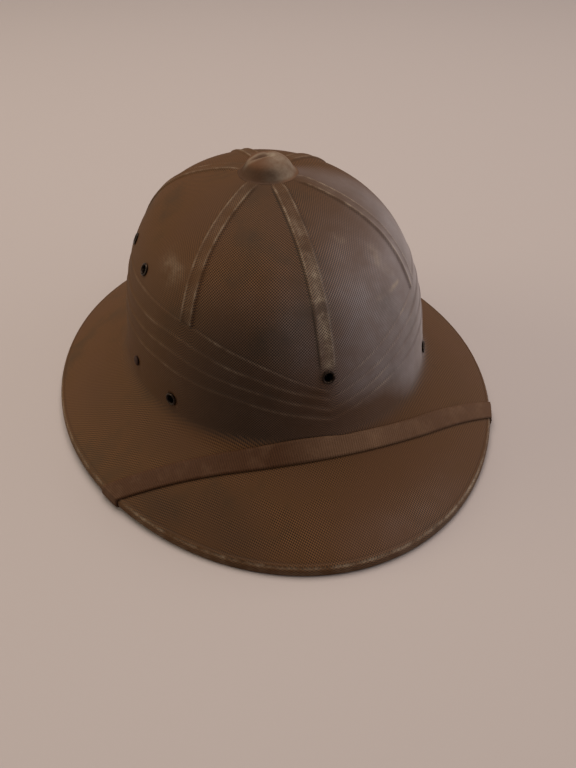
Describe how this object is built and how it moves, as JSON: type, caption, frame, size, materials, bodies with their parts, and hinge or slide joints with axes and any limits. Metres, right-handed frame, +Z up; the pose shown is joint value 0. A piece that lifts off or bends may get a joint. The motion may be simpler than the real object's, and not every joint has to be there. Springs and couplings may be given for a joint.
{
  "type": "pith helmet",
  "caption": "Sun helmet with a rounded crown, moulded seams and folds, a wide sloping brim, a vent button, eyelets and a woven chin strap worn over the brim.",
  "frame": {"origin": "middle of the bottom of the helmet's box, on the surface that the brim stands on", "axes": "+Z up to the button, -Y to the front of the helmet, +X to the wearer's left"},
  "size_m": [0.2668, 0.3282, 0.149],
  "materials": {
    "cloth": "worn brown cotton twill stiffened over pressed fibre",
    "webbing": "brown woven band with fine cross ribs",
    "button": "worn pale cloth over a pressed button",
    "eyelet": "blackened brass, satin",
    "rivet": "dark red-brown lacquer, satin"
  },
  "bodies": {
    "root": {"shell": "cloth", "chin_strap": "webbing", "crown_button": "button", "eyelet_front": "eyelet", "eyelet_right_low": "eyelet", "eyelet_right_fore": "eyelet", "eyelet_right_aft": "eyelet", "eyelet_left_low": "eyelet", "eyelet_left_fore": "eyelet", "eyelet_left_aft": "eyelet", "strap_rivet_right": "rivet", "strap_rivet_left": "rivet"}
  },
  "joints": []
}
